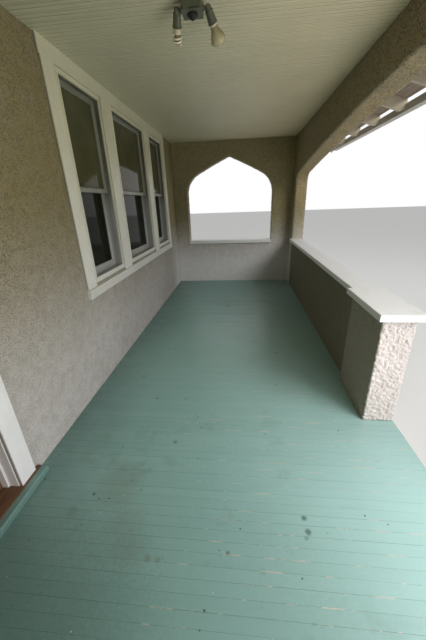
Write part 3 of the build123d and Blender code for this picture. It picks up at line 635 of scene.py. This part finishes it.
def ceiling_boards():
    """Beaded boards across the ceiling: a V at each joint and a bead with two quirks between."""
    pile = Pile()
    count = round(2 * Y_END / BEAD_PITCH)
    pitch = 2 * Y_END / count
    vee, quirk, bead = 0.0052, 0.0040, 0.0050
    deep, shoulder = 0.0058, 0.0008
    half = [(-pitch / 2, deep), (vee - pitch / 2, 0), (-bead - 2 * quirk, 0),
            (-bead - quirk, deep), (-bead, shoulder), (-bead / 2, 0)]
    outline = half + [(-y, z) for y, z in reversed(half)]
    back = Z_CEILING_TOP - Z_CEILING
    outline += [(pitch / 2, back), (-pitch / 2, back)]
    for i in range(count):
        mid = (i + 0.5) * pitch - Y_END
        pile.prism([(X_HOUSE, mid + y, Z_CEILING + z) for y, z in outline],
                   [(X_FRONT, mid + y, Z_CEILING + z) for y, z in outline])
    pile.make("ceiling_boards", CEILING_PAINT, "ceiling_paint", replaced=("ceiling",))


# Roof, and the gutter's hangers
def on_slope(along, y, lift):
    """A point by its way down the slope from the house wall, and its height over the boards'
    underside."""
    x = X_HOUSE + along * math.cos(SLOPE) + lift * math.sin(SLOPE)
    z_house = Z_DECK_LOW + (X_EAVE - X_HOUSE) * ROOF_RISE
    return (x, y, z_house - along * math.sin(SLOPE) + lift * math.cos(SLOPE))


def slope_strip(pile, start, end, under, top, y0, y1):
    """A flat strip across the slope."""
    ring = [(start, under), (end, under), (end, top), (start, top)]
    pile.prism([on_slope(s, y0, n) for s, n in ring], [on_slope(s, y1, n) for s, n in ring])


def deck_boards():
    """Roof boards with gaps between them, each cut once along its length."""
    rng = random.Random(8)
    pile = Pile()
    by_wall, gap, joint, spread = 0.012, 0.0015, 0.001, 2.5
    reach = (X_EAVE - X_HOUSE) / math.cos(SLOPE) - DECK_T * math.tan(SLOPE)
    count = round(reach / DECK_PITCH)
    pitch = reach / count
    for i in range(count):
        start, end = i * pitch + (gap if i else by_wall), (i + 1) * pitch - gap
        cut = rng.uniform(-spread, spread)
        for y0, y1 in ((-Y_ROOF, cut - joint), (cut + joint, Y_ROOF)):
            slope_strip(pile, start, end, 0.0, DECK_T, y0, y1)
    pile.make("deck_boards", ROOF_BOARDS, "roof_boards", replaced=("roof_deck",), edge=0.0015)


def shingles():
    """Courses of three-tab shingles over a flat underlay."""
    rng = random.Random(5)
    pile = Pile()
    courses, tab, slot_w, least = 24, 0.305, 0.009, 0.02
    slip, curl, by_wall = 0.004, 0.0014, 0.012
    under, base, butt = DECK_T + 0.0002, DECK_T + 0.006, DECK_T + COVER_T - 0.0004
    tab_under, tab_head = base - 0.001, base + 0.0016
    reach = (X_COVER - X_HOUSE) / math.cos(SLOPE) - (DECK_T + COVER_T) * math.tan(SLOPE)
    exposure = reach / courses
    slope_strip(pile, by_wall, reach, under, base, -Y_COVER, Y_COVER)
    for course in range(courses):
        top, foot = max(course * exposure, by_wall + 0.002), (course + 1) * exposure
        y = -Y_COVER - (tab / 2 if course % 2 else 0.0)
        while y < Y_COVER:
            a, b = max(y + slot_w / 2, -Y_COVER), min(y + tab - slot_w / 2, Y_COVER)
            y += tab
            if b - a < least:
                continue
            end = foot + (rng.uniform(-slip, 0.0) if course < courses - 1 else 0.0)
            lift = rng.uniform(-curl, 0.0)
            ring = [(top, a), (end, a), (end, b), (top, b)]
            pile.prism([on_slope(s, y_tab, tab_under) for s, y_tab in ring],
                       [on_slope(s, y_tab, tab_head if s == top else butt + lift)
                        for s, y_tab in ring])
    pile.make("shingles", SHINGLE_GRIT, "roof_covering", replaced=("roof_covering",))


def gutter_hangers():
    """A flat hanger across the gutter at each rafter."""
    low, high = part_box("gutter")
    width, under, top = 0.022, high.z - 0.009, high.z - 0.006
    pile = Pile()
    for i in range(RAFTER_COUNT):
        y = (i - (RAFTER_COUNT - 1) / 2) * RAFTER_STEP
        pile.bar((low.x + 0.001, high.x - 0.0045), (y - width / 2, y + width / 2), (under, top))
    pile.make("gutter_hangers", GUTTER_METAL, "gutter_metal", edge=0.0006)


# Window trim
def spans(node):
    """The (low, high) spans in Y of a node's separate pieces."""
    mesh = nodes[node].data
    faces = [[mesh.vertices[i].co.y for i in polygon.vertices] for polygon in mesh.polygons]
    joined = []
    for low, high in sorted((min(ys), max(ys)) for ys in faces):
        if joined and low < joined[-1][1] + 0.001:
            joined[-1][1] = max(joined[-1][1], high)
        else:
            joined.append([low, high])
    return joined


SASH_HIDDEN, RAIL_HIDDEN = 0.008, 0.010
LIGHTS = [(low + SASH_HIDDEN, high - SASH_HIDDEN) for low, high in spans("upper_sashes")]
LIGHT_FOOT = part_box("lower_sashes")[0].z + RAIL_HIDDEN
LIGHT_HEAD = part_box("upper_sashes")[1].z - RAIL_HIDDEN
FRAME_STRIP, FRAME_LAP = 0.040, 0.035  # frame seen beside a light, and hidden at its head
BEAD_W, BEAD_RISE, BEAD_SUNK = 0.013, 0.0105, 0.004
FILLET_W, FILLET_RISE, FILLET_SUNK = 0.009, 0.0045, 0.001


def window_beads():
    """A moulded bead round each light, and fillets on the casings' inner edges."""
    pile = Pile()
    upright = LIGHT_FOOT, LIGHT_HEAD
    fillet_span = (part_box("window_casing")[0].z + 0.001,
                   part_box("window_frame")[1].z - FRAME_LAP - 0.0005)
    for y0, y1 in LIGHTS:
        whole = y0 - BEAD_W, y1 + BEAD_W
        for across, up in ((whole, (LIGHT_HEAD, LIGHT_HEAD + BEAD_W)), ((whole[0], y0), upright),
                           ((y1, whole[1]), upright), (whole, (LIGHT_FOOT - BEAD_W, LIGHT_FOOT))):
            pile.bar((X_FRAME_FACE - BEAD_SUNK, X_FRAME_FACE + BEAD_RISE), across, up)
        for across in ((y0 - FRAME_STRIP - FILLET_W, y0 - FRAME_STRIP),
                       (y1 + FRAME_STRIP, y1 + FRAME_STRIP + FILLET_W)):
            pile.bar((X_CASING_FACE - FILLET_SUNK, X_CASING_FACE + FILLET_RISE), across,
                     fillet_span)
    pile.make("window_beads", TRIM_PAINT, "trim_paint", edge=0.002)


# Ceiling light: a box with a sensor, and two tilted lamp holders
X_LAMP = (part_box("light_box")[0].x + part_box("light_box")[1].x) / 2
Y_LAMP = (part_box("light_box")[0].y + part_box("light_box")[1].y) / 2
Y_LAMP_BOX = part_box("light_box")[0].y
Z_LAMP_BOX = Z_CEILING - 0.070
Z_LAMP_ARM = Z_LAMP_BOX + 0.022
LAMP_NECK = 0.092
LAMP_TILT = math.radians(38)
LAMP_SPLAY = {-1: math.radians(10), 1: math.radians(21)}


def lamp_place(side):
    """The matrix at the neck of one lamp holder: its Z runs out along the lamp."""
    outward = Vector((side * math.sin(LAMP_SPLAY[side]), math.sin(LAMP_TILT),
                      -math.cos(LAMP_TILT)))
    turn = outward.normalized().to_track_quat("Z", "Y").to_matrix().to_4x4()
    return Matrix.Translation((X_LAMP + side * LAMP_NECK, Y_LAMP, Z_LAMP_ARM)) @ turn


def reflector_profile():
    """A reflector bulb: straight neck, a smooth flare, and a domed face."""
    neck_r, face_r = 0.0215, 0.0458
    neck_end, widest, tip = 0.086, 0.148, 0.180
    flare_steps, dome_steps = 14, 12
    profile = [(0, 0.070), (0.0195, 0.070), (0.0210, 0.078)]
    for k in range(flare_steps + 1):
        t = k / flare_steps
        profile.append((neck_r + (face_r - neck_r) * t * t * (3 - 2 * t),
                        neck_end + (widest - neck_end) * t))
    for k in range(1, dome_steps):
        turn = math.pi / 2 * k / dome_steps
        profile.append((face_r * math.cos(turn), widest + (tip - widest) * math.sin(turn)))
    return profile + [(0, tip)]


def turned(name, place, profile, sides, material, slot="bulb_glass", **extra):
    """A piece that is one turned form."""
    pile = Pile()
    pile.lathe(place, profile, sides)
    pile.make(name, material, slot, **extra)


def ceiling_light():
    """Rims on the holders, a reflector bulb and a spiral lamp, and the box's sensor and slit."""
    spiral, reflector = lamp_place(-1), lamp_place(1)
    rims = Pile()
    for side, place in ((-1, spiral), (1, reflector)):
        rims.lathe(place, [(0, 0.064), (0.0262, 0.064), (0.0292, 0.0655), (0.0292, 0.0705),
                           (0.0266, 0.072), (0.0215, 0.072), (0, 0.070)])
        rims.lathe(place, [(0, 0.010), (0.0215, 0.010), (0.0240, 0.0125), (0.0240, 0.0165),
                           (0.0225, 0.019), (0, 0.019)])
        rims.tube([(X_LAMP + side * reach, Y_LAMP, Z_LAMP_ARM) for reach in (0.058, 0.068)],
                  0.016, 24)
    rims.make("lamp_rims", LAMP_METAL, "lamp_metal", edge=0.0005)
    turned("reflector_bulb", reflector, reflector_profile(), 56, BULB_GLASS, smooth=True)

    coil = Pile()
    turns, steps, radius, thickness = 2.6, 36, 0.0238, 0.0052
    foot, head = 0.104, 0.149
    points = [spiral @ Vector((0.010, 0, foot - 0.012)), spiral @ Vector((0.018, 0, foot - 0.006))]
    for k in range(int(turns * steps) + 1):
        turn = 2 * math.pi * k / steps
        rise = foot + (head - foot) * k / (turns * steps)
        points.append(spiral @ Vector((radius * math.cos(turn), radius * math.sin(turn), rise)))
    coil.tube(points, thickness)
    coil.make("spiral_tube", COIL_GLASS, "bulb_glass", smooth=True)
    # A dark core stands in for the shade seen between the spiral's turns.
    turned("spiral_core", spiral,
           [(0, foot - 0.010), (0.0150, foot - 0.010), (0.0165, foot), (0.0165, head - 0.006),
            (0.0120, head), (0, head + 0.001)], 40, COIL_SHADE, smooth=True)
    turned("spiral_base", spiral,
           [(0, 0.068), (0.0195, 0.068), (0.0205, 0.072), (0.0232, 0.078), (0.0238, 0.092),
            (0.0225, 0.098), (0.0150, 0.100), (0, 0.100)], 48, LAMP_PLASTIC,
           replaced=("lamp_bulbs",), smooth=True)
    turned("bulb_collar", reflector,
           [(0, 0.066), (0.0215, 0.066), (0.0235, 0.069), (0.0235, 0.080), (0.0212, 0.083),
            (0, 0.083)], 48, LAMP_PLASTIC, edge=0.0008)

    knob = Matrix.Translation((X_LAMP, Y_LAMP, Z_LAMP_BOX)) @ Matrix.Rotation(math.pi, 4, "X")
    turned("light_sensor", knob,
           [(0, -0.001), (0.0310, -0.001), (0.0310, 0.006), (0.0235, 0.011), (0.0160, 0.020),
            (0.0090, 0.0265), (0, 0.0275)], 40, SENSOR_BLACK, "lamp_metal", edge=0.0006)
    slit = Pile()
    slit.bar((X_LAMP - 0.014, X_LAMP + 0.046), (Y_LAMP_BOX - 0.0008, Y_LAMP_BOX + 0.003),
             (Z_LAMP_BOX + 0.0035, Z_LAMP_BOX + 0.0075))
    slit.make("box_slit", SENSOR_BLACK, "lamp_metal")


# Roughcast skins. Relief is the noise in a surface's height, in layers of (lumps in a metre,
# height, seed)
WALL_RELIEF = ((22.0, 0.0030, 33), (46.0, 0.0034, 57), (6.0, 0.0012, 17))
PEDESTAL_RELIEF = ((64.0, 0.0054, 87), (118.0, 0.0026, 141), (30.0, 0.0014, 53))
KNEE_RELIEF = ((45.0, 0.0020, 76), (90.0, 0.0012, 121))
COAT_RELIEF = ((62.0, 0.0022, 41), (120.0, 0.0011, 42), (7.0, 0.0012, 43))
WALL_VOXEL, PEDESTAL_VOXEL, KNEE_VOXEL = (
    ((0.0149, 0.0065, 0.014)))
SPLIT_Y = 3.2  # between the front arch's skin and the ends'


def read(items, attribute, width=1, kind=float):
    """One attribute of every item of a mesh, as a numpy array."""
    values = np.empty(len(items) * width, dtype=kind)
    items.foreach_get(attribute, values)
    return values.reshape(-1, width) if width > 1 else values


def joined_copy(names):
    """Verts and triangles of several CAD nodes as numpy arrays."""
    verts, faces, first = [], [], 0
    for name in names:
        mesh = nodes[name].data
        mesh.calc_loop_triangles()
        verts.append(read(mesh.vertices, "co", 3))
        faces.append(read(mesh.loop_triangles, "vertices", 3, np.int64) + first)
        first += len(mesh.vertices)
    return np.vstack(verts), np.vstack(faces)


def value_noise(points, scale, seed):
    """Smooth noise in -1..1 at many points, from hashed lattice values."""
    p = points * scale
    cell = np.floor(p).astype(np.int64)
    f = p - cell
    f = f * f * (3 - 2 * f)
    total = np.zeros(len(points))
    for dx in (0, 1):
        for dy in (0, 1):
            for dz in (0, 1):
                n = (((cell[:, 0] + dx) * 73856093) ^ ((cell[:, 1] + dy) * 19349663)
                     ^ ((cell[:, 2] + dz) * 83492791) ^ (seed * 2654435761))
                n = (n ^ (n >> 13)) * 1274126177
                n = (n ^ (n >> 16)) & 0xFFFF
                weight = (np.where(dx, f[:, 0], 1 - f[:, 0]) * np.where(dy, f[:, 1], 1 - f[:, 1])
                          * np.where(dz, f[:, 2], 1 - f[:, 2]))
                total += weight * (n / 32767.5 - 1)
    return total


def relief(points, layers):
    """The height of a rough surface at many points."""
    return sum(height * value_noise(points, scale, seed) for scale, height, seed in layers)


def roughcast_skin(names, voxel, layers, rule):
    """Verts and faces of a remeshed union of nodes, moved in and out by relief, then set right
    by the rule."""
    verts, faces = joined_copy(names)
    mesh = bpy.data.meshes.new("remesh_source")
    mesh.from_pydata(verts.tolist(), [], faces.tolist())
    source = bpy.data.objects.new("remesh_source", mesh)
    scene.collection.objects.link(source)
    remesh = source.modifiers.new("remesh", "REMESH")
    remesh.mode = "VOXEL"
    remesh.voxel_size = voxel
    remesh.adaptivity = 0.0
    depsgraph = bpy.context.evaluated_depsgraph_get()
    out = bpy.data.meshes.new_from_object(source.evaluated_get(depsgraph))
    bpy.data.objects.remove(source)
    bpy.data.meshes.remove(mesh)
    flat = read(out.vertices, "co", 3)
    rough = flat + read(out.vertices, "normal", 3) * relief(flat, layers)[:, None]
    corners = read(out.loops, "vertex_index", kind=np.int64)
    starts = read(out.polygons, "loop_start", kind=np.int64)
    counts = read(out.polygons, "loop_total", kind=np.int64)
    bpy.data.meshes.remove(out)
    rule(flat, rough)
    return rough, [tuple(corners[s:s + c]) for s, c in zip(starts, counts)]


def skin_piece(name, verts, faces, replaced, material=ROUGHCAST_SKIN):
    piece(name, verts.tolist(), faces, material, "roughcast", replaced=replaced, smooth=True)


def part_of(verts, faces, keep=lambda vert: True):
    """The faces whose first corner passes the test, with their verts renumbered."""
    chosen = [face for face in faces if keep(verts[face[0]])]
    used = sorted({i for face in chosen for i in face})
    index = {v: k for k, v in enumerate(used)}
    return verts[used], [tuple(index[i] for i in face) for face in chosen]


def arch_rule(flat, rough):
    """Keeps the skin's feet flat and lets its house side run into the house wall."""
    near = 0.012
    rough[flat[:, 0] < X_HOUSE + near, 0] = X_HOUSE - near / 2
    rough[flat[:, 2] < near, 2] = 0.0


def flat_foot(low, near):
    """A rule that keeps a skin's foot flat on the floor."""
    def rule(flat, rough):
        rough[flat[:, 2] < low + near, 2] = low
    return rule


def rough_walls():
    """Lumpy skins in place of the arches, the end walls, the pedestals and the knee walls."""
    ends = [f"{end}_end_{part}" for end in ("far", "near")
            for part in ("house_pier", "knee_wall", "corner_pier", "arch_head")]
    verts, faces = roughcast_skin(ends + ["front_arch"], WALL_VOXEL, WALL_RELIEF, arch_rule)
    for name, keep, replaced in (
            ("far_end_roughcast", lambda v: v[1] > SPLIT_Y, ends[:4]),
            ("near_end_roughcast", lambda v: v[1] < -SPLIT_Y, ends[4:]),
            ("front_arch_roughcast", lambda v: abs(v[1]) <= SPLIT_Y, ["front_arch"])):
        skin_piece(name, *part_of(verts, faces, keep), replaced)
    for names, voxel, layers, near, material in (
            (("far_pedestal", "near_pedestal"), PEDESTAL_VOXEL, PEDESTAL_RELIEF, 0.006,
             PEDESTAL_SKIN),
            (("front_knee_wall", "near_knee_wall"), KNEE_VOXEL, KNEE_RELIEF, 0.008, KNEE_SKIN)):
        for name in names:
            rule = flat_foot(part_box(name)[0].z, near)
            verts, faces = roughcast_skin([name], voxel, layers, rule)
            skin_piece(f"{name}_roughcast", verts, faces, [name], material)


def marks_between(marks, steps):
    """Places from mark to mark, each stretch in even steps of about its own length."""
    parts = [np.linspace(a, b, math.ceil((b - a) / step), endpoint=False)
             for a, b, step in zip(marks, marks[1:], steps)]
    return np.append(np.concatenate(parts), marks[-1])


def wall_coat():
    """A thin rough coat on the house wall's porch face, cut away behind the casings."""
    lap, rise, sunk = 0.012, 0.0062, 0.004
    foot, head, end = Z_FLOOR - lap, Z_CEILING + lap / 2, Y_END + lap

    # The cuts end a little way behind the sill board and the casings
    board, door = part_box("window_sub_sill"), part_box("door_casing")
    window_cut = (board[0].y + 0.015, board[1].y - 0.015, board[0].z + 0.012, head)
    door_cut = (door[0].y + 0.027, door[1].y - 0.027, foot, door[1].z - 0.015)

    # A grid of quads with marks on the cuts' edges
    coarse, fine, upward = ((0.024, 0.011, 0.0145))
    ys = marks_between((-end, *door_cut[:2], *window_cut[:2], end),
                       (coarse, fine, fine, coarse, coarse))
    zs = marks_between((foot, window_cut[2], door_cut[3], head), (upward,) * 3)
    keep = np.ones((len(ys) - 1, len(zs) - 1), dtype=bool)
    mid_y, mid_z = (ys[1:] + ys[:-1]) / 2, (zs[1:] + zs[:-1]) / 2
    for y0, y1, z0, z1 in (window_cut, door_cut):
        keep[np.ix_((mid_y > y0) & (mid_y < y1), (mid_z > z0) & (mid_z < z1))] = False
    grid_y, grid_z = np.meshgrid(ys, zs, indexing="ij")
    verts = np.stack([np.full(grid_y.size, X_HOUSE), grid_y.ravel(), grid_z.ravel()], axis=1)
    verts[:, 0] += rise + relief(verts, COAT_RELIEF)
    across, rows = np.nonzero(keep)
    corner = across * len(zs) + rows
    quads = np.stack([corner, corner + len(zs), corner + len(zs) + 1, corner + 1], axis=1).tolist()

    # A flat back, joined to the front by a rim
    sides = {(quad[k], quad[(k + 1) % 4]) for quad in quads for k in range(4)}
    rim = [(a, b) for a, b in sides if (b, a) not in sides]
    rim_verts = sorted({a for a, _ in rim})
    order = {v: k for k, v in enumerate(rim_verts)}
    back = verts[rim_verts].copy()
    back[:, 0] = X_HOUSE - sunk
    flat = [Vector((y, z)) for _, y, z in back.tolist()]
    found = delaunay_2d_cdt(flat, [(order[a], order[b]) for a, b in rim], [], 1, 1e-7)
    assert len(found[0]) == len(flat)
    source, first = [origin[0] for origin in found[3]], len(verts)
    faces = quads + [(b, a, first + order[a], first + order[b]) for a, b in rim]
    faces += [tuple(first + source[i] for i in reversed(face)) for face in found[2]]
    skin_piece("house_wall_coat", *part_of(np.vstack([verts, back]), faces), (), WALL_COAT)


floor_boards()
ceiling_boards()
deck_boards()
shingles()
gutter_hangers()
window_beads()
ceiling_light()
rough_walls()
wall_coat()

# Widths of the rounded edges
EDGES = {
    0.003: ("window_sub_sill", "door_sill", "front_door"),
    0.0025: ("window_casing", "door_casing"),
    0.002: ("window_frame", "door_frame", "door_sill_nosing", "rafters", "barge_boards",
            "knee_wall_caps", "pedestal_caps", "end_sill_caps"),
    0.0015: ("upper_sashes", "lower_sashes", "light_box"),
}
for width, names in EDGES.items():
    for name in names:
        soften(nodes[name], width)

# Stage, world and lamps
STAGE_REACH = 60.0
ground = bpy.data.meshes.new("ground")
ground.from_pydata([(x * STAGE_REACH, y * STAGE_REACH, 0)
                    for x, y in ((-1, -1), (1, -1), (1, 1), (-1, 1))], [], [(0, 1, 2, 3)])
ground_object = bpy.data.objects.new("ground", ground)
scene.collection.objects.link(ground_object)
ground_object.location.z = -0.001
ground.materials.append(Graph("ground_plain", roughness=0.9, specular=0.1)
                        .finish((0.78, 0.78, 0.77)))

world = bpy.data.worlds.new("studio")
scene.world = world
world.use_nodes = True
tree = world.node_tree
tree.nodes.clear()


def white_light(strength):
    """White light from all round."""
    light = tree.nodes.new("ShaderNodeBackground")
    light.inputs["Color"].default_value = (1.0, 1.0, 1.0, 1.0)
    light.inputs["Strength"].default_value = strength
    return light.outputs[0]


# White where it is seen, itself or in gloss and glass, and softer as light on the porch
rays = tree.nodes.new("ShaderNodeLightPath").outputs
seen = rays["Is Camera Ray"]
for ray in ("Is Glossy Ray", "Is Transmission Ray"):
    either = tree.nodes.new("ShaderNodeMath")
    either.operation = "MAXIMUM"
    tree.links.new(seen, either.inputs[0])
    tree.links.new(rays[ray], either.inputs[1])
    seen = either.outputs[0]
choose = tree.nodes.new("ShaderNodeMixShader")
for socket, source in zip(choose.inputs, (seen, white_light(0.60), white_light(1.0))):
    tree.links.new(source, socket)
out = tree.nodes.new("ShaderNodeOutputWorld")
tree.links.new(choose.outputs[0], out.inputs["Surface"])


def area_lamp(name, place, target, size, power):
    """A rectangular lamp that isn't seen itself."""
    data = bpy.data.lights.new(name, "AREA")
    data.shape = "RECTANGLE"
    data.size, data.size_y = size
    data.energy = power
    lamp = bpy.data.objects.new(name, data)
    scene.collection.objects.link(lamp)
    lamp.location = place
    lamp.rotation_euler = (Vector(target) - Vector(place)).to_track_quat("-Z", "Y").to_euler()
    lamp.visible_camera = False
    lamp.visible_glossy = False


area_lamp("key", (5.9, -4.7, 6.4), (0.3, -0.9, 0.8), (5.5, 4.5), 640)
area_lamp("opening_fill", (1.02, -1.68, 1.55), (0.0, -1.48, 1.45), (1.75, 1.9), 29)
area_lamp("back_fill", (-8.0, 4.0, 5.0), (-1.5, 0.0, 2.0), (5.0, 4.0), 220)

scene.view_settings.view_transform = "Standard"
